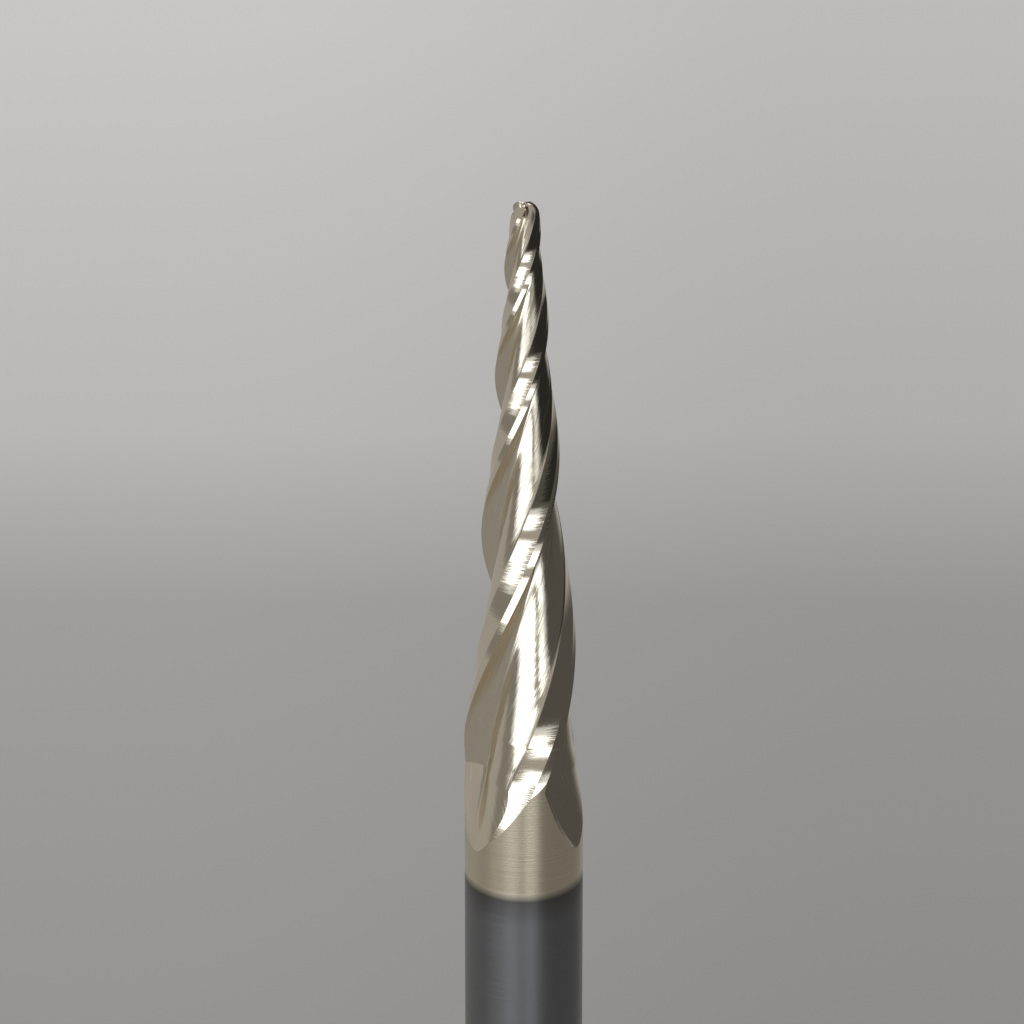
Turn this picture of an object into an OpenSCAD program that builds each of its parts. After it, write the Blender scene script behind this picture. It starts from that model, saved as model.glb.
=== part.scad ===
// Tapered ball nose end mill with three helical teeth, ground from one carbide rod.
// The origin is the centre of the shank's flat end and +Z points to the ball tip.
// Distances called s run from the ball tip back along the axis, in millimetres.

/* [Shank] */
// Diameter of the shank that the collet grips
shank_d = 6.35; // [4:0.01:12]
// Length over all, from the flat end to the ball tip
overall_l = 76.2; // [65:0.1:110]
// Chamfer on the flat end
chamfer = 0.4; // [0.1:0.05:0.8]

/* [Taper and ball] */
// Radius of the ball at the tip
ball_r = 0.8; // [0.4:0.05:1.5]
// Length from the tip to where the taper meets the shank
taper_l = 30.5; // [24:0.5:40]

/* [Teeth] */
// Helix angle of the cutting edges
helix = 23.3; // [12:0.1:35]
// Direction of the first cutting edge at the tip
first_edge = 37.7; // [0:0.1:120]
// Web left between the flutes, as a share of the radius
core_share = 0.56; // [0.45:0.01:0.7]
// Rake angle of the face behind the cutting edge
rake = 1; // [0:0.5:8]
// Depth below the web that draws the foot of the rake face into a tight fillet
root_pull = 0.19; // [0.1:0.01:0.25]
// Depth below the web that draws the flute floor
floor_pull = 0.12; // [0.05:0.01:0.2]
// Share of the radius that the back of the flute rises to before it bends to the heel
back_share = 0.77; // [0.65:0.01:0.85]
// Width of a whole land where the radius is nothing
land_base = 0.44; // [0.3:0.01:0.6]
// Growth of the land for each millimetre of radius
land_rate = 0.46; // [0.3:0.01:0.6]
// Widest that a land may be, in degrees
land_most = 66; // [50:1:80]
// Width of the primary relief where the radius is nothing
primary_base = 0.1; // [0.05:0.01:0.2]
// Growth of the primary relief for each millimetre of radius
primary_rate = 0.13; // [0.08:0.01:0.2]
// Radius at the end of the primary relief, as a share of the full radius
primary_share = 0.98; // [0.96:0.005:0.99]
// Radius at the heel of the land, as a share of the full radius
heel_share = 0.9; // [0.86:0.01:0.94]

/* [Ball end] */
// Radius round the axis inside which two of the teeth are ground away
gash_r = 0.34; // [0.15:0.01:0.5]

/* [Run-out] */
// Length past the taper over which the flutes keep their full depth
full_flute_l = 0.5; // [0.3:0.1:2]
// Length over which they then start to rise while they still follow the helix
lift_turn_l = 1.6; // [0.5:0.1:3]
// Length over which they rise straight along the shank until they come out of it
flute_exit_l = 4.7; // [3:0.1:8]
// How slowly the flute starts to rise: 1 is a straight ramp, 2 a long shallow start
lift_bend = 1.3; // [1:0.05:1.8]
// Slope at which the relief comes up to the shank
relief_exit = 4.7; // [3:0.1:9]

/* [Hidden] */

teeth = 3;
pitch = 360 / teeth;
shank_r = shank_d / 2;
degrees = 180 / PI;

// The cone touches the ball and reaches the shank's radius at the end of the taper
half_taper = atan2(shank_r, taper_l - ball_r) - asin(ball_r / norm([taper_l - ball_r, shank_r]));
ball_end = ball_r * (1 - sin(half_taper));
ball_end_r = ball_r * cos(half_taper);

// The cutting edge's turn over the ball and over the whole taper
ball_turn = degrees * tan(helix) * ball_end / ball_r;
taper_turn = degrees * tan(helix) / tan(half_taper) * ln(shank_r / ball_end_r);

// The flutes rise from here, and from exit_start on the grinding wheel turns no further
lift_start = taper_l + full_flute_l;
exit_start = lift_start + lift_turn_l;
exit_end = exit_start + flute_exit_l;

// Fineness of the rings along the tool and of the steps across a flute and a land
ball_rings = 8;
taper_rings = 78;
exit_rings = 18;
flute_steps = 12;
exit_land_steps = 12;
// Directions across the gap, from 0 to 1, that draw the floor, the back and the heel
floor_across = 0.08;
back_across = 0.58;
heel_across = 0.9;
// Share of the radius just inside the heel
heel_pull = 0.8;
// How far the rising wheel drifts towards the heel, as a share of the gap
lift_shift = 0.15;
// Depth that is left where a flute ends, as a share of its full depth
last_depth = 0.001;
// The last ring lies this far inside the round shank that it joins
inset = 0.003;

// Radius of the ground blank at s
function blank_r(s) =
    s < ball_end ? sqrt(2 * ball_r * s - s * s)
    : s < taper_l ? ball_r / cos(half_taper) + (s - ball_r) * tan(half_taper)
    : shank_r;

// Angle of the blank's surface normal above the horizontal at s
function lean(s) = s < ball_end ? asin(1 - s / ball_r) : s < taper_l ? half_taper : 0;

// Radius that the depths are a share of: it stays the same all over the ball
function depth_r(s) = max(blank_r(s), ball_end_r);

// Turn of the cutting edges at s, back from the tip
function turn(s) =
    s < ball_end ? ball_turn * s / ball_end
    : s < taper_l ? ball_turn + degrees * tan(helix) / tan(half_taper) * ln(blank_r(s) / ball_end_r)
    : ball_turn + taper_turn + degrees * tan(helix) * (s - taper_l) / shank_r;

// Direction of the cutting edge of tooth k at s
function edge_at(k, s) = first_edge + k * pitch - turn(s);

// Angles from the cutting edge back to the heel and to the corner of the relief
function land_a(s) = min(land_most, degrees * (land_base / depth_r(s) + land_rate));
function corner_a(s) = degrees * (primary_base / depth_r(s) + primary_rate);

// How far the wheel that grinds a flute has risen at s, from 0 to 1 at the run-out's end
function risen(s) = max(0, (s - lift_start) / (exit_end - lift_start)) ^ lift_bend;

// A flat of the relief through two points of the section, given by the direction of
// its normal from the cutting edge and by its distance from the axis
function polar(share, a) = [share * cos(a), share * sin(a)];
function flat_through(p, q) =
    let (d = p - q, normal = atan2(-d[0], d[1]))
    [normal, p * polar(1, normal)];
function primary_flat(s) = lifted(s, flat_through(polar(1, 0), polar(primary_share, -corner_a(s))));
function secondary_flat(s) =
    lifted(s, flat_through(polar(primary_share, -corner_a(s)), polar(heel_share, -land_a(s))));

// In the run-out the flats lift off evenly while they go on round the helix
function lifted(s, flat) = [flat[0], flat[1] + max(0, s - exit_start) * tan(relief_exit) / shank_r];

// Share of the radius that the relief leaves at an angle from the cutting edge
function under(flat, a) = abs(a - flat[0]) < 60 ? flat[1] / cos(a - flat[0]) : 1;
function relief(s, a) = min(1, under(primary_flat(s), a), under(secondary_flat(s), a));

// Angle from the cutting edge to the near side of the secondary flat: it meets
// the primary flat there, or the round shank once that flat has run out
function secondary_from(s) =
    let (p = primary_flat(s), q = secondary_flat(s),
         both = atan2(p[1] * cos(q[0]) - q[1] * cos(p[0]), q[1] * sin(p[0]) - p[1] * sin(q[0])),
         near = abs(both) > 90 ? both - sign(both) * 180 : both)
    under(q, near) < 1 ? near : q[0] + acos(min(1, q[1]));

// Height of the crest of tooth k: only the first tooth reaches the axis
function crest(k, s) =
    let (near = max(0, 1 - blank_r(s) / gash_r))
    k % teeth == 0 ? 1 : 1 - (1 - core_share) * near * near * (3 - 2 * near);

// The point at s, in direction a, whose depth leaves the given share of the radius
function at(s, a, share) =
    let (depth = (1 - share) * depth_r(s), r = blank_r(s) - depth * cos(lean(s)))
    [r * cos(a), r * sin(a), overall_l - s - depth * sin(lean(s))];

// Smooth curve that starts at the first value, ends at the last and is drawn by the rest
function curve(p, t) =
    len(p) == 1 ? p[0] : curve([for (i = [1 : len(p) - 1]) p[i - 1] * (1 - t) + p[i] * t], t);

// The path of the wheel across flute k, from the cutting edge over the floor to the
// heel: its direction and the share of the radius that it leaves
function wheel(k, s, t) =
    let (gap = pitch - land_a(s), top = crest(k, s), drop = 1 - crest(k + 1, s),
         root = core_share - root_pull,
         foot = -tan(rake) * (top - root) * degrees / gap,
         start = edge_at(k, min(s, exit_start)) + lift_shift * gap * risen(s))
    [start + gap * curve([0, foot, floor_across, back_across, heel_across, 1], t),
     curve([top, root, core_share - floor_pull, back_share, heel_pull - drop, heel_share - drop], t)
        + (1 - last_depth) * (1 - web) * risen(s)];

// Where the wheel's path comes out of the land of tooth n, found by halving
function leaves(k, n, s, inner, outer, tries = 20) =
    let (t = (inner + outer) / 2, w = wheel(k, s, t), clear = w[1] > relief(s, w[0] - edge_at(n, s)))
    tries == 0 ? inner : leaves(k, n, s, clear ? inner : t, clear ? t : outer, tries - 1);

// The least share that the wheel leaves at full depth, and its place along the path
path = [
    for (i = [0 : 100])
        curve([1, core_share - root_pull, core_share - floor_pull, back_share, heel_pull, heel_share],
              i / 100)
];
web = min(path);
deepest = search(web, path)[0] / 100;

// One pitch of the section: the flute in front of tooth k, then the land of the next
// tooth, whose part next to the cutting edge is cut in the given number of steps
function pitch_points(k, s, steps) =
    let (rising = risen(s) > 0,
         from = rising ? leaves(k, k, s, deepest, 0) : 0,
         to = rising ? leaves(k, k + 1, s, deepest, 1.4) : 1,
         next = edge_at(k + 1, s), drop = 1 - crest(k + 1, s),
         end = wheel(k, s, to)[0],
         near = max(next + secondary_from(s), end + 0.5),
         stop = wheel(k, s, from)[0] + pitch)
    [
        for (i = [0 : flute_steps])
            let (w = wheel(k, s, from + (to - from) * i / flute_steps))
            at(s, w[0], w[1]),
        at(s, (end + near) / 2, relief(s, (end + near) / 2 - next) - drop),
        for (i = [0 : steps - 1])
            let (a = near + (stop - near) * i / steps)
            at(s, a, relief(s, a - next) - drop)
    ];

function ring(s, steps) = [for (k = [0 : teeth - 1]) each pitch_points(k, s, steps)];

// Stations of the rings: even turns of the helix on the taper, even arcs on the ball
// and shorter and shorter steps along the run-out
function taper_station(i) =
    let (r = ball_end_r * (shank_r / ball_end_r) ^ (i / taper_rings))
    ball_r + (r - ball_r / cos(half_taper)) / tan(half_taper);
function ball_station(i) = ball_r * (1 - cos((90 - half_taper) * i / (ball_rings + 0.5)));
function exit_station(i) = lift_start + (exit_end - lift_start) * (1 - (1 - i / exit_rings) ^ 2);

exit_rings_points = [
    [for (p = ring(exit_end, exit_land_steps)) [p[0], p[1], 0] * (1 - inset / shank_r) + [0, 0, p[2]]],
    for (i = [exit_rings - 1 : -1 : 0]) ring(exit_station(i), exit_land_steps)
];
tooth_rings_points = [
    for (i = [taper_rings : -1 : 1]) ring(taper_station(i), 1),
    for (i = [ball_rings : -1 : 1]) ring(ball_station(i), 1)
];

// Triangles between two rings: from is the first point of each, and match gives
// for each point of the first ring the point of the second that it is joined to
function between(from, next_from, match, next_n) =
    let (n = len(match))
    [
        for (j = [0 : n - 1])
            let (j2 = (j + 1) % n)
            each concat(
                [[from + j, next_from + match[j], from + j2]],
                match[j] == match[j2] ? []
                    : [[from + j2, next_from + match[j], next_from + match[j2]]]
            )
    ];

// The fluted end as one skin, from the end of the run-out up to the tip
module fluted_end() {
    low = exit_rings_points;
    high = tooth_rings_points;
    low_n = len(low[0]);
    high_n = len(high[0]);
    start = len(low) * low_n;
    apex = start + len(high) * high_n;
    pitch_low = low_n / teeth;
    pitch_high = high_n / teeth;
    same_low = [for (j = [0 : low_n - 1]) j];
    same_high = [for (j = [0 : high_n - 1]) j];
    joined = [
        for (j = same_low)
            floor(j / pitch_low) * pitch_high + min(j % pitch_low, pitch_high - 1)
    ];
    points = concat([for (r = low) each r], [for (r = high) each r], [[0, 0, overall_l]]);
    faces = concat(
        [same_low],
        [for (i = [0 : len(low) - 2]) each between(i * low_n, (i + 1) * low_n, same_low)],
        between(start - low_n, start, joined),
        [for (i = [0 : len(high) - 2])
            each between(start + i * high_n, start + (i + 1) * high_n, same_high)],
        [for (j = same_high) [apex - high_n + j, apex, apex - high_n + (j + 1) % high_n]]
    );
    polyhedron(points, faces, convexity = 10);
}

// The plain round shank, up to where the flutes end
module shank() {
    top = overall_l - exit_end;
    rotate_extrude($fn = 96)
        polygon([[0, 0], [shank_r - chamfer, 0], [shank_r, chamfer], [shank_r, top], [0, top]]);
}

module end_mill() {
    color("darkkhaki") fluted_end();
    color("dimgray") shank();
}

end_mill();
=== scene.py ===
import math

import bpy
import numpy as np
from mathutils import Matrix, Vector


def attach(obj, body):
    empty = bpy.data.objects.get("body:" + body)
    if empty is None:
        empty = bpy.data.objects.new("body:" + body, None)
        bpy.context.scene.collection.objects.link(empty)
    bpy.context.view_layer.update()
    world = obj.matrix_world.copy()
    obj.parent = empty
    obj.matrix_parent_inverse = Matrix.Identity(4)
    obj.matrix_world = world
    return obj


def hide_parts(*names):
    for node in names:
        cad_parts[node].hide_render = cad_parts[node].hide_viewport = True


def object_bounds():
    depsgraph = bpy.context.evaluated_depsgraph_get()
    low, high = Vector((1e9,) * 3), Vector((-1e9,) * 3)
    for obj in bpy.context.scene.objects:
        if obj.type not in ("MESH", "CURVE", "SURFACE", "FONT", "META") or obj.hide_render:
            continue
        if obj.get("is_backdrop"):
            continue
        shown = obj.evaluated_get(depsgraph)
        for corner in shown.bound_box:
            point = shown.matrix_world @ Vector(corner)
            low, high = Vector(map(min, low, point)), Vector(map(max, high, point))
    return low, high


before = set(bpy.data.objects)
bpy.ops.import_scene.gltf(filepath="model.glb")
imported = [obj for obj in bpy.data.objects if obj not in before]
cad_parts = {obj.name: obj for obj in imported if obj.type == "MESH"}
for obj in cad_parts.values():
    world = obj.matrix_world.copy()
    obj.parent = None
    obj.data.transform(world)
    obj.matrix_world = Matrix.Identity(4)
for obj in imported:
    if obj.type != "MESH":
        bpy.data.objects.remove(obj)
cad_low, cad_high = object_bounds()


# The fluted end. One rod of solid tungsten carbide is ground to a slim cone that ends in
# a ball, and three right-hand flutes are then ground into it, each with a narrow and a
# wide relief behind its cutting edge. Lengths are in millimetres; s runs from the tip.
MM = 0.001
shank_r = 3.175
overall_l = cad_high.z / MM
ball_r = 0.8
taper_l = 30.5
helix = math.radians(23.3)
first_edge = math.radians(37.7)
core_share = 0.56
rake = math.radians(0.3)
root_pull, floor_pull, back_share, heel_pull = 0.03, 0.24, 0.71, 0.81
floor_across, back_across, heel_across = 0.235, 0.22, 0.97
land_base, land_rate, land_most = 0.44, 0.46, math.radians(66)
primary_base, primary_rate, primary_share = 0.1, 0.13, 0.98
heel_share = 0.9
gash_r = 0.34
exit_start = taper_l + 2.1
exit_l = 4.7
exit_end = exit_start + exit_l
lift_start, lift_bend, lift_shift = taper_l + 1.5, 1.55, 0.33
wheel_stop = taper_l + 2.65
stop_kick = 0.027
relief_exit = math.radians(4.7)

teeth = 3
pitch = 2 * math.pi / teeth
reach = math.hypot(taper_l - ball_r, shank_r)
half_taper = math.atan2(shank_r, taper_l - ball_r) - math.asin(ball_r / reach)
ball_end = ball_r * (1 - math.sin(half_taper))
ball_end_r = ball_r * math.cos(half_taper)
ball_turn = math.tan(helix) * ball_end / ball_r
cone_twist = math.tan(helix) / math.tan(half_taper)


def blank_radius(s):
    if s < ball_end:
        return math.sqrt(2 * ball_r * s - s * s)
    if s < taper_l:
        return ball_r / math.cos(half_taper) + (s - ball_r) * math.tan(half_taper)
    return shank_r


def blank_lean(s):
    if s < ball_end:
        return math.asin(1 - s / ball_r)
    return half_taper if s < taper_l else 0.0


def edge_turn(s):
    if s < ball_end:
        return ball_turn * s / ball_end
    if s < taper_l:
        return ball_turn + cone_twist * math.log(blank_radius(s) / ball_end_r)
    whole = ball_turn + cone_twist * math.log(shank_r / ball_end_r)
    return whole + math.tan(helix) * (s - taper_l) / shank_r


def flat_through(p, q):
    """The flat through two points of the section: its normal's angle and its distance."""
    normal = math.atan2(-(p[0] - q[0]), p[1] - q[1])
    return normal, p[0] * math.cos(normal) + p[1] * math.sin(normal)


def polar(share, a):
    return share * math.cos(a), share * math.sin(a)


def share_under(flat, a):
    off = a - flat[0]
    return flat[1] / math.cos(off) if abs(off) < math.radians(60) else 1.0


def bow(p, t):
    """A smooth curve pulled towards its control values."""
    while len(p) > 1:
        p = [(1 - t) * a + t * b for a, b in zip(p, p[1:])]
    return p[0]


path = [bow((1, core_share - root_pull, core_share - floor_pull, back_share, heel_pull, heel_share),
            i / 100) for i in range(101)]
web = min(path)
deepest = path.index(web) / 100

flute_steps = 32
round_steps, secondary_steps, primary_steps, margin_steps = 8, 8, 4, 14
pitch_columns = flute_steps + 1 + round_steps + secondary_steps + primary_steps + margin_steps


def pitch_section(k, s):
    """One flute and the land behind it: angle, share of the radius and grain width."""
    depth_r = max(blank_radius(s), ball_end_r)
    land = min(land_most, land_base / depth_r + land_rate)
    corner = primary_base / depth_r + primary_rate
    relief_lift = max(0.0, s - exit_start) * math.tan(relief_exit) / shank_r
    lifted = max(0.0, (s - lift_start) / (exit_end - lift_start)) ** lift_bend
    wheel_lift = 0.999 * (1 - web) * lifted
    primary = flat_through(polar(1, 0), polar(primary_share, -corner))
    secondary = flat_through(polar(primary_share, -corner), polar(heel_share, -land))
    primary = primary[0], primary[1] + relief_lift
    secondary = secondary[0], secondary[1] + relief_lift

    def relief(a):
        return min(1.0, share_under(primary, a), share_under(secondary, a))

    def edge(tooth):
        return first_edge + tooth * pitch - edge_turn(s)

    def crest(tooth):
        near = max(0.0, 1 - blank_radius(s) / gash_r)
        return 1 - (1 - web) * near if tooth % teeth else 1.0

    gap = pitch - land
    after = edge(k + 1)
    top, drop = crest(k), 1 - crest(k + 1)
    heel = heel_share - drop
    root = core_share - root_pull
    foot = -math.tan(rake) * (top - root) / gap
    wheel_at = first_edge + k * pitch - edge_turn(min(s, wheel_stop)) + lift_shift * gap * lifted
    wheel_at += stop_kick * (1 - math.exp(-max(0.0, s - wheel_stop) / 0.6))
    turns_of_wheel = 0, foot, floor_across, back_across, heel_across, 1
    shares_of_wheel = top, root, core_share - floor_pull, back_share, heel_pull - drop, heel

    def wheel(t):
        return wheel_at + gap * bow(turns_of_wheel, t), bow(shares_of_wheel, t) + wheel_lift

    def leaves(inner, outer, tooth):
        """Where the wheel's path comes out of the land of that tooth."""
        for _ in range(26):
            t = (inner + outer) / 2
            a, share = wheel(t)
            if share > relief(a - edge(tooth)):
                outer = t
            else:
                inner = t
        return inner

    from_t, to_t = 0.0, 1.0
    if lifted:
        from_t, to_t = leaves(deepest, 0.0, k), leaves(deepest, 1.4, k + 1)
    rows = [wheel(from_t + (to_t - from_t) * i / flute_steps) for i in range(flute_steps + 1)]
    end = rows[-1][0]
    next_wheel = wheel_at + pitch
    stop = next_wheel + gap * bow(turns_of_wheel, from_t)

    # The land from the heel on: round blank, secondary flat, primary flat, round blank
    meet = math.atan2(primary[1] * math.cos(secondary[0]) - secondary[1] * math.cos(primary[0]),
                      secondary[1] * math.sin(primary[0]) - primary[1] * math.sin(secondary[0]))
    if abs(meet) > math.pi / 2:
        meet -= math.copysign(math.pi, meet)
    half_secondary = math.acos(min(1.0, secondary[1]))
    half_primary = math.acos(min(1.0, primary[1]))
    if share_under(secondary, meet) >= 1:
        meet = secondary[0] + half_secondary
        half_primary = 0.0
    low, high = end - after, stop - after
    first = min(max(low, secondary[0] - half_secondary), high)
    corner_at = min(max(first, meet), high)
    last = min(max(corner_at, primary[0] + half_primary if half_primary else corner_at), high)
    turns = [low, first, corner_at, last, high]
    for n, (a, b) in zip((round_steps, secondary_steps, primary_steps, margin_steps),
                         zip(turns, turns[1:])):
        for i in range(1, n + 1):
            at = a + (b - a) * i / n
            rows.append((after + at, relief(at) - drop))
    return rows


def section_points(k, s):
    lean, depth_r, r = blank_lean(s), max(blank_radius(s), ball_end_r), blank_radius(s)
    points = []
    for a, share in pitch_section(k, s):
        depth = (1 - share) * depth_r
        out = r - depth * math.cos(lean)
        z = overall_l - s - depth * math.sin(lean)
        points.append((out * math.cos(a), out * math.sin(a), z))
    return points


taper_rings, ball_rings, full_rings, exit_rings = 330, 26, 22, 64
stations = []
for i in range(1, ball_rings + 1):
    stations.append(ball_r * (1 - math.cos((math.pi / 2 - half_taper) * i / (ball_rings + 0.5))))
for i in range(taper_rings + 1):
    r = ball_end_r * (shank_r / ball_end_r) ** (i / taper_rings)
    stations.append(ball_r + (r - ball_r / math.cos(half_taper)) / math.tan(half_taper))
for i in range(1, full_rings + 1):
    stations.append(taper_l + (exit_start - taper_l) * i / full_rings)
for i in range(1, exit_rings + 1):
    stations.append(exit_start + exit_l * (1 - (1 - i / exit_rings) ** 2))
# One ring lies where the wheel stops turning, because the flutes bend there
stations = sorted(stations + [wheel_stop])
bend_ring = stations.index(wheel_stop)

# Points that fall together, where a strip of the land has no width, are one vertex
together = 1e-5
per_pitch = pitch_columns - 1
vertices, rings, across = [], [], []
for s in stations:
    pitches = [section_points(k, s) for k in range(teeth)]
    starts = []
    for points in pitches:
        starts.append(len(vertices))
        vertices.append(points[0])
        used = [starts[-1]]
        for j in range(1, per_pitch):
            if math.dist(points[j], points[-1]) < together:
                used.append(None)
            elif math.dist(points[j], points[j - 1]) < together:
                used.append(used[-1])
            else:
                used.append(len(vertices))
                vertices.append(points[j])
        rings.append(used)
        steps = [math.dist(p, q) for p, q in zip(points, points[1:])]
        across.append([sum(steps[:j]) for j in range(len(points))])
    for k in range(teeth):
        used = rings[len(rings) - teeth + k]
        first_of_next = starts[(k + 1) % teeth]
        used[:] = [first_of_next if v is None else v for v in used] + [first_of_next]

# The grain runs along the flutes: its map holds the widths and the lengths in millimetres
tip = len(vertices)
vertices.append((0.0, 0.0, overall_l - (1 - web) * ball_end_r))
apart = 7.3
along = [s / math.cos(helix) for s in stations]
faces, face_columns, grain_map = [], [], []


def add_face(corners, widths, lengths, column, k):
    kept = [n for n in range(len(corners)) if corners[n] != corners[n - 1]]
    if len(set(corners)) > 2:
        faces.append([corners[n] for n in kept])
        face_columns.append(column)
        grain_map.extend((widths[n] + k * apart, lengths[n]) for n in kept)


for i in range(len(stations) - 1):
    for k in range(teeth):
        near, far = rings[i * teeth + k], rings[(i + 1) * teeth + k]
        w, w_far = across[i * teeth + k], across[(i + 1) * teeth + k]
        for j in range(per_pitch):
            add_face((near[j], far[j], far[j + 1], near[j + 1]),
                     (w[j], w_far[j], w_far[j + 1], w[j + 1]),
                     (along[i], along[i + 1], along[i + 1], along[i]), j, k)
for k in range(teeth):
    near, w = rings[k], across[k]
    for j in range(per_pitch):
        add_face((near[j], near[j + 1], tip), (w[j], w[j + 1], w[j]),
                 (along[0], along[0], 0.0), j, k)

mesh = bpy.data.meshes.new("cutter")
mesh.from_pydata([Vector(v) * MM for v in vertices], [], faces)
mesh.uv_layers.new(name="grain").data.foreach_set("uv", np.array(grain_map, np.float32).ravel())
mesh.polygons.foreach_set("use_smooth", [True] * len(faces))

# Crisp lines: cutting edge, heel, and both borders of the two relief flats
heel_column = flute_steps
border_column = heel_column + round_steps
corner_column = border_column + secondary_steps
margin_column = corner_column + primary_steps
crisp = set()
for near, far in zip(rings, rings[teeth:]):
    for j in (0, heel_column, border_column, corner_column, margin_column):
        crisp.add((near[j], far[j]))
for used in rings[teeth * bend_ring:teeth * (bend_ring + 1)]:
    crisp.update(zip(used[:flute_steps // 3], used[1:]))
for edge in mesh.edges:
    a, b = edge.vertices
    edge.use_edge_sharp = (a, b) in crisp or (b, a) in crisp
# Faces of the flutes, of the two reliefs and of the round blank take their own finish
for face, j in zip(mesh.polygons, face_columns):
    face.material_index = 1 if border_column <= j < margin_column else 2 if j >= heel_column else 0

cutter = bpy.data.objects.new("cutter", mesh)
bpy.context.scene.collection.objects.link(cutter)
bpy.ops.object.select_all(action="DESELECT")
cutter.select_set(True)
bpy.context.view_layer.objects.active = cutter


def add_node(tree, kind, place=(0, 0), **values):
    made = tree.nodes.new(kind)
    made.location = place
    for name, value in values.items():
        setattr(made, name, value)
    return made


def ground_metal(name, colour, grain, stretch, depth_um, smooth, rough):
    """Metal with grinding lines: grain is a UV map's name, or None for the object's axes."""
    made = bpy.data.materials.new(name)
    made.use_nodes = True
    tree = made.node_tree
    shader = tree.nodes["Principled BSDF"]
    shader.inputs["Base Color"].default_value = (*colour, 1)
    shader.inputs["Metallic"].default_value = 1
    where = add_node(tree, "ShaderNodeTexCoord", (-1200, 0))
    place = where.outputs["Object"]
    if grain:
        place = add_node(tree, "ShaderNodeUVMap", (-1200, -200), uv_map=grain).outputs["UV"]
    mapping = add_node(tree, "ShaderNodeMapping", (-1000, 0))
    mapping.inputs["Scale"].default_value = stretch
    lines = add_node(tree, "ShaderNodeTexNoise", (-800, 0))
    lines.inputs["Scale"].default_value = 1
    lines.inputs["Detail"].default_value = 3
    lines.inputs["Roughness"].default_value = 0.6
    bump = add_node(tree, "ShaderNodeBump", (-300, -200))
    bump.inputs["Strength"].default_value = 0.35
    bump.inputs["Distance"].default_value = depth_um * 1e-6
    worn = add_node(tree, "ShaderNodeMapRange", (-500, 100))
    worn.inputs["From Min"].default_value = 0.45
    worn.inputs["From Max"].default_value = 0.75
    worn.inputs["To Min"].default_value = smooth
    worn.inputs["To Max"].default_value = rough
    tree.links.new(place, mapping.inputs["Vector"])
    tree.links.new(mapping.outputs["Vector"], lines.inputs["Vector"])
    tree.links.new(lines.outputs["Fac"], bump.inputs["Height"])
    tree.links.new(bump.outputs["Normal"], shader.inputs["Normal"])
    tree.links.new(lines.outputs["Fac"], worn.inputs["Value"])
    tree.links.new(worn.outputs["Result"], shader.inputs["Roughness"])
    return made


# The wheel leaves fine lines along the flutes, and the reliefs are ground across, all
# under a pale gold nitride film
film = (0.85, 0.76, 0.61)
cutter.data.materials.append(ground_metal("flute_film", film, "grain", (7, 0.22, 1), 28, 0.05, 0.4))
cutter.data.materials.append(ground_metal("relief_film", film, "grain", (0.5, 8, 1), 20, 0.07, 0.2))


# The shank. The same rod goes on as a plain cylinder, ground round between centres, with
# a small chamfer at its flat end. The film stops at a straight line round the rod.
coated_l = 39.5
film_fade, dark_band = 0.3, 1.8
chamfer = 0.4
bpy.ops.object.mode_set(mode="EDIT")
bpy.ops.mesh.select_mode(type="VERT")
bpy.ops.mesh.select_all(action="DESELECT")
bpy.ops.object.mode_set(mode="OBJECT")
for used in rings[-teeth:]:
    for v in used:
        mesh.vertices[v].select = True
bpy.ops.object.mode_set(mode="EDIT")
depth_from = exit_end
for depth_to in (exit_end + 0.4, coated_l - film_fade, overall_l - chamfer):
    bpy.ops.mesh.extrude_region_move(
        TRANSFORM_OT_translate={"value": (0, 0, (depth_from - depth_to) * MM)})
    depth_from = depth_to
bpy.ops.mesh.extrude_region_move(TRANSFORM_OT_translate={"value": (0, 0, -chamfer * MM)})
narrow = 1 - chamfer / shank_r
bpy.ops.transform.resize(value=(narrow, narrow, 1), center_override=(0, 0, 0))
bpy.ops.mesh.edge_face_add()
bpy.ops.mesh.select_all(action="DESELECT")
bpy.ops.object.mode_set(mode="OBJECT")
mesh = cutter.data
for edge in mesh.edges:
    low, high = sorted(mesh.vertices[v].co.z / MM for v in edge.vertices)
    if high < overall_l - exit_end + 0.01:
        edge.use_edge_sharp = high - low < 0.01 and high < chamfer + 0.01
for face in mesh.polygons:
    at = face.center.z / MM
    if at < overall_l - coated_l + film_fade:
        face.material_index = 3
    elif at < overall_l - exit_end:
        face.material_index = 2
    face.use_smooth = at > chamfer
# A ground cylinder is true: its faces take the cylinder's own normals
normals = [(0.0, 0.0, 0.0)] * len(mesh.loops)
for face in mesh.polygons:
    if face.material_index > 1 and face.use_smooth:
        for loop in face.loop_indices:
            spot = mesh.vertices[mesh.loops[loop].vertex_index].co
            normals[loop] = (spot.x * 1000, spot.y * 1000, 0.0)
mesh.normals_split_custom_set([Vector(n).normalized() for n in normals])

rings_round = (60, 60, 9000)
round_film = 0.79, 0.7, 0.53
cutter.data.materials.append(ground_metal("blank_film", round_film, None, rings_round, 10, 0.24, 0.31))
bare = 0.235, 0.234, 0.242
shank_metal = ground_metal("bare_carbide", bare, None, rings_round, 10, 0.32, 0.45)
cutter.data.materials.append(shank_metal)

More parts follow.
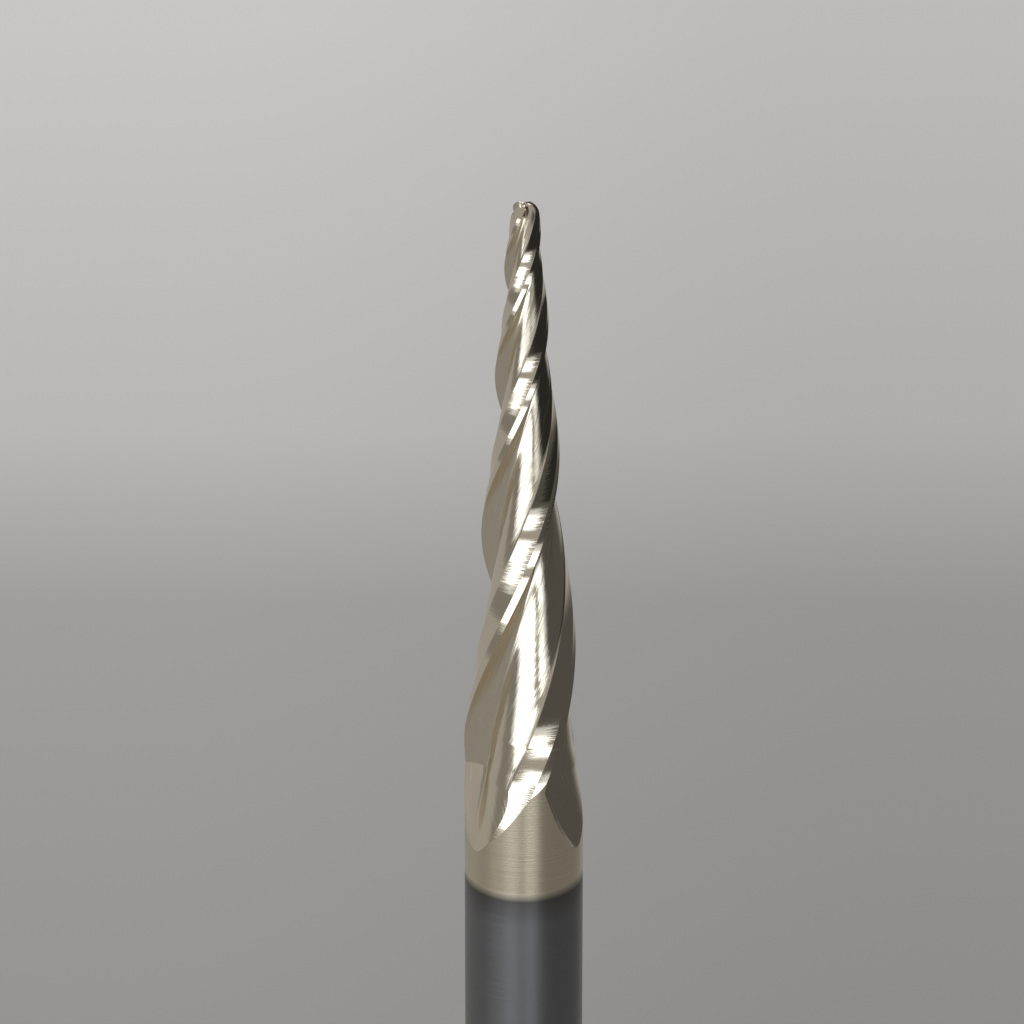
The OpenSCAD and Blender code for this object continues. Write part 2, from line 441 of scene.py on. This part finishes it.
# The film thins out softly, and the bare metal just below it is darker for a short way
tree = shank_metal.node_tree
parts = add_node(tree, "ShaderNodeSeparateXYZ", (-800, 300))
place = add_node(tree, "ShaderNodeMapRange", (-600, 300))
place.inputs["From Min"].default_value = (overall_l - coated_l + film_fade) * MM
place.inputs["From Max"].default_value = (overall_l - coated_l - dark_band) * MM
tones = add_node(tree, "ShaderNodeValToRGB", (-400, 300))
ramp = tones.color_ramp
ramp.elements.new(0.25)
for element, colour in zip(ramp.elements, (round_film, (0.15, 0.145, 0.14), bare)):
    element.color = (*colour, 1)
tree.links.new(tree.nodes["Texture Coordinate"].outputs["Object"], parts.inputs["Vector"])
tree.links.new(parts.outputs["Z"], place.inputs["Value"])
tree.links.new(place.outputs["Result"], tones.inputs["Fac"])
tree.links.new(tones.outputs["Color"], tree.nodes["Principled BSDF"].inputs["Base Color"])

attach(cutter, "root")
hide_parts("end_mill")


# The table that the tool stands on: a matt grey sheet, its colour painted paler to the back as painted
# light falloff and darker to the right as painted shade
bpy.ops.mesh.primitive_plane_add(size=6)
table = bpy.context.object
table.name = "table"
cloth = bpy.data.materials.new("matt_table")
cloth.use_nodes = True
tree = cloth.node_tree
shader = tree.nodes["Principled BSDF"]
shader.inputs["Roughness"].default_value = 0.9
shader.inputs["Specular IOR Level"].default_value = 0.1
where = add_node(tree, "ShaderNodeTexCoord", (-1000, 0))
parts = add_node(tree, "ShaderNodeSeparateXYZ", (-800, 0))
place = add_node(tree, "ShaderNodeMapRange", (-600, 0))
place.inputs["From Min"].default_value = 0.045
place.inputs["From Max"].default_value = 0.2
tones = add_node(tree, "ShaderNodeValToRGB", (-400, 0))
# Painted side shade: the table's colour is made lighter on the left and darker on the right
painted_side_shade = add_node(tree, "ShaderNodeMapRange", (-600, -250), interpolation_type="SMOOTHSTEP")
painted_side_shade.inputs["From Min"].default_value = -0.025
painted_side_shade.inputs["From Max"].default_value = 0.025
painted_side_shade.inputs["To Min"].default_value = 1.06
painted_side_shade.inputs["To Max"].default_value = 0.93
shade = add_node(tree, "ShaderNodeMix", (-100, 0), data_type="RGBA", blend_type="MULTIPLY")
shade.inputs["Factor"].default_value = 1
tree.links.new(where.outputs["Object"], parts.inputs["Vector"])
tree.links.new(parts.outputs["Y"], place.inputs["Value"])
tree.links.new(parts.outputs["X"], painted_side_shade.inputs["Value"])
tree.links.new(place.outputs["Result"], tones.inputs["Fac"])
tree.links.new(tones.outputs["Color"], shade.inputs[6])
tree.links.new(painted_side_shade.outputs["Result"], shade.inputs[7])
tree.links.new(shade.outputs[2], shader.inputs["Base Color"])
ramp = tones.color_ramp
# Painted light falloff: the table's greys, darker at the front and paler to the back, with a soft step
# between
painted_falloff_greys = ((0.0, 0.43), (0.2, 0.46), (0.36, 0.485), (0.53, 0.67), (1.0, 0.78))
while len(ramp.elements) < len(painted_falloff_greys):
    ramp.elements.new(0.5)
for element, (position, grey) in zip(ramp.elements, painted_falloff_greys):
    element.position = position
    element.color = (grey, grey * 0.947, grey * 0.885, 1)
table.data.materials.append(cloth)
table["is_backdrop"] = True


# The camera looks down at the fluted end, and the shank runs out of the picture
down = math.radians(27)
distance = 0.4
pixels_per_m = 19057
picture = 1024
aim = Vector((-(524.1 - picture / 2) / pixels_per_m, 0, 0.05828))
lens = bpy.data.cameras.new("camera")
lens.sensor_width = 36
lens.lens = lens.sensor_width * pixels_per_m * distance / picture
lens.clip_start = 0.01
camera = bpy.data.objects.new("camera", lens)
camera.location = aim + distance * Vector((0, -math.cos(down), math.sin(down)))
camera.rotation_euler = (math.pi / 2 - down, 0, 0)
bpy.context.scene.collection.objects.link(camera)
bpy.context.scene.camera = camera


# The lamps are soft panels that stand round the front and the left of the tool, each given
# by the directions that it fills as seen from the tool, and one more panel overhead. They
# reach below the table's level, which the metal doesn't mirror, and no view shows them.
away = 2.0
middle = Vector((0, 0, 0.05))


def direction(azimuth, elevation):
    a, e = math.radians(azimuth), math.radians(elevation)
    return Vector((math.sin(a) * math.cos(e), -math.cos(a) * math.cos(e), math.sin(e)))


def panel(name, azimuths, elevations, radiance):
    lamp = bpy.data.lights.new(name, "AREA")
    lamp.shape = "RECTANGLE"
    half_a, half_e = [math.radians((b - a) / 2) for a, b in (azimuths, elevations)]
    lamp.size = 2 * away * math.tan(half_a)
    lamp.size_y = 2 * away * math.tan(half_e)
    lamp.energy = radiance * math.pi * lamp.size * lamp.size_y
    lamp.color = 0.96, 1.04, 1.14
    held = bpy.data.objects.new(name, lamp)
    out = direction(sum(azimuths) / 2, sum(elevations) / 2)
    held.location = middle + away * out
    held.rotation_euler = out.to_track_quat("Z", "Y").to_euler()
    held.visible_camera = False
    bpy.context.scene.collection.objects.link(held)


panel("front_panel", (3, 20), (-25, -7), 1.6)
panel("front_edge", (20, 28), (-27, -7), 0.6)
panel("left_panel", (-35, -10), (-24, -5.5), 1.6)
panel("far_left_panel", (-60, -35), (-18, -5.5), 1.6)
panel("left_edge", (-70, -60), (-14, -5.5), 0.5)
panel("back_panel", (-30, 30), (108, 150), 2.2)
table.visible_glossy = False
table.visible_shadow = False

# A black card stands close on the right, behind what the picture shows, and only the
# upper half of the fluted end mirrors it
bpy.ops.mesh.primitive_plane_add(size=1)
card = bpy.context.object
card.name = "black_card"
card.scale = 0.09, 0.06, 1
card_out = direction(82, 0)
card.location = 0.04 * card_out + Vector((0, 0, 0.08))
card.rotation_euler = card_out.to_track_quat("Z", "Y").to_euler()
felt = bpy.data.materials.new("black_felt")
felt.use_nodes = True
felt_shader = felt.node_tree.nodes["Principled BSDF"]
felt_shader.inputs["Base Color"].default_value = (0.05, 0.05, 0.05, 1)
felt_shader.inputs["Roughness"].default_value = 1
felt_shader.inputs["Specular IOR Level"].default_value = 0
card.data.materials.append(felt)
card.visible_camera = card.visible_shadow = card.visible_diffuse = False
card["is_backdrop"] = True

# The room beyond the panels: dim, darkest to the right, and pale below the tool
world = bpy.data.worlds.new("room")
world.use_nodes = True
tree = world.node_tree
backdrop = tree.nodes["Background"]
where = add_node(tree, "ShaderNodeTexCoord", (-1200, 0))
parts = add_node(tree, "ShaderNodeSeparateXYZ", (-1000, -200))
dark_side = add_node(tree, "ShaderNodeVectorMath", (-1000, 0), operation="DOT_PRODUCT")
dark_side.inputs[1].default_value = direction(78, 0)
darkness = add_node(tree, "ShaderNodeMapRange", (-800, 0), interpolation_type="SMOOTHSTEP")
darkness.inputs["From Min"].default_value = 0.15
darkness.inputs["From Max"].default_value = 0.75
darkness.inputs["To Min"].default_value = 0.36
darkness.inputs["To Max"].default_value = 0.085
# A dark gap between the left panels and the room behind them
gap_side = add_node(tree, "ShaderNodeVectorMath", (-1000, 200), operation="DOT_PRODUCT")
gap_side.inputs[1].default_value = direction(-82, -12)
gap_shade = add_node(tree, "ShaderNodeMapRange", (-800, 200), interpolation_type="SMOOTHSTEP")
gap_shade.inputs["From Min"].default_value = 0.93
gap_shade.inputs["From Max"].default_value = 0.985
gap_shade.inputs["To Min"].default_value = 1.0
gap_shade.inputs["To Max"].default_value = 0.6
gapped = add_node(tree, "ShaderNodeMath", (-650, 100), operation="MULTIPLY")
below = add_node(tree, "ShaderNodeMapRange", (-800, -200), interpolation_type="SMOOTHSTEP")
below.inputs["From Min"].default_value = -0.44
below.inputs["From Max"].default_value = -0.52
tone = add_node(tree, "ShaderNodeMix", (-500, 0))
tone.inputs["B"].default_value = 0.27
tree.links.new(where.outputs["Generated"], dark_side.inputs[0])
tree.links.new(where.outputs["Generated"], parts.inputs["Vector"])
tree.links.new(dark_side.outputs["Value"], darkness.inputs["Value"])
tree.links.new(parts.outputs["Z"], below.inputs["Value"])
tree.links.new(below.outputs["Result"], tone.inputs["Factor"])
tree.links.new(where.outputs["Generated"], gap_side.inputs[0])
tree.links.new(gap_side.outputs["Value"], gap_shade.inputs["Value"])
tree.links.new(darkness.outputs["Result"], gapped.inputs[0])
tree.links.new(gap_shade.outputs["Result"], gapped.inputs[1])
tree.links.new(gapped.outputs["Value"], tone.inputs["A"])
tree.links.new(tone.outputs["Result"], backdrop.inputs["Strength"])
backdrop.inputs["Color"].default_value = (1, 0.985, 0.95, 1)
bpy.context.scene.world = world
bpy.context.scene.view_settings.view_transform = "Standard"

low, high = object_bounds()
